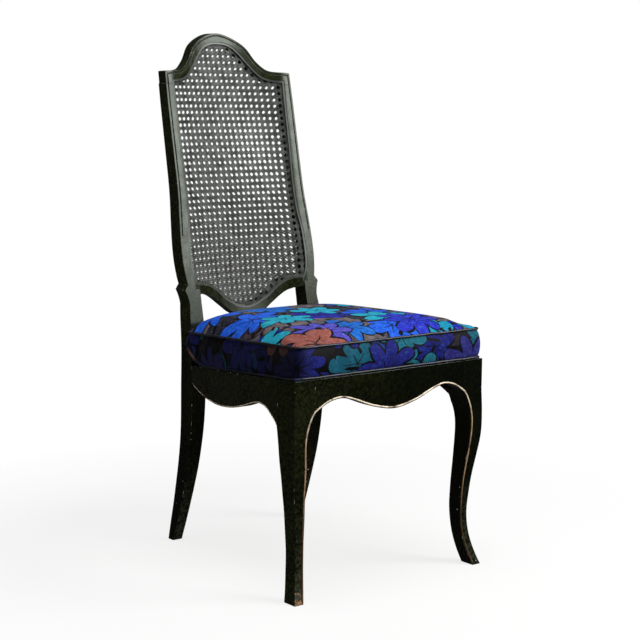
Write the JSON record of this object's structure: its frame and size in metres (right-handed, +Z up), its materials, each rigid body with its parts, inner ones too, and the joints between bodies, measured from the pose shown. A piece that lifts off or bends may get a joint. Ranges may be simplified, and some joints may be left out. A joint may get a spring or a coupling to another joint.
{
  "type": "cane chair",
  "caption": "French provincial side chair in black lacquer with an arched, curved cane back, cabriole front legs, shaped aprons and a floral box cushion.",
  "frame": {"origin": "middle of the chair's box at floor level", "axes": "+X to the sitter's left side as seen from the front, +Y to the back, +Z up"},
  "size_m": [0.4848, 0.6413, 1.0875],
  "materials": {
    "black_lacquer": "semi-gloss black lacquer over carved hardwood, gilt lines, worn edges",
    "beech": "unfinished beech",
    "plywood": "unfinished plywood",
    "cane": "painted woven cane, grey green",
    "reed": "black lacquered reed",
    "velvet": "patterned velvet, large flowers on a dark ground",
    "welt": "dark velvet piping",
    "screw_steel": "plated wood screw"
  },
  "bodies": {
    "root": {"back_post_left": "black_lacquer", "back_post_right": "black_lacquer", "crest_rail": "black_lacquer", "lower_back_rail": "black_lacquer", "rear_seat_rail": "black_lacquer", "front_leg_left": "black_lacquer", "front_leg_right": "black_lacquer", "front_seat_rail": "black_lacquer", "side_seat_rail_left": "black_lacquer", "side_seat_rail_right": "black_lacquer", "corner_block_front_left": "beech", "corner_block_front_right": "beech", "corner_block_rear_left": "beech", "corner_block_rear_right": "beech", "block_screws": "screw_steel", "seat_screws": "screw_steel", "seat_board": "plywood", "seat_cushion": "velvet", "cushion_welt_bottom": "welt", "cushion_welt_top": "welt", "cane_front": "cane", "cane_rear": "cane", "cane_spline_front": "reed", "cane_spline_rear": "reed"}
  },
  "joints": []
}
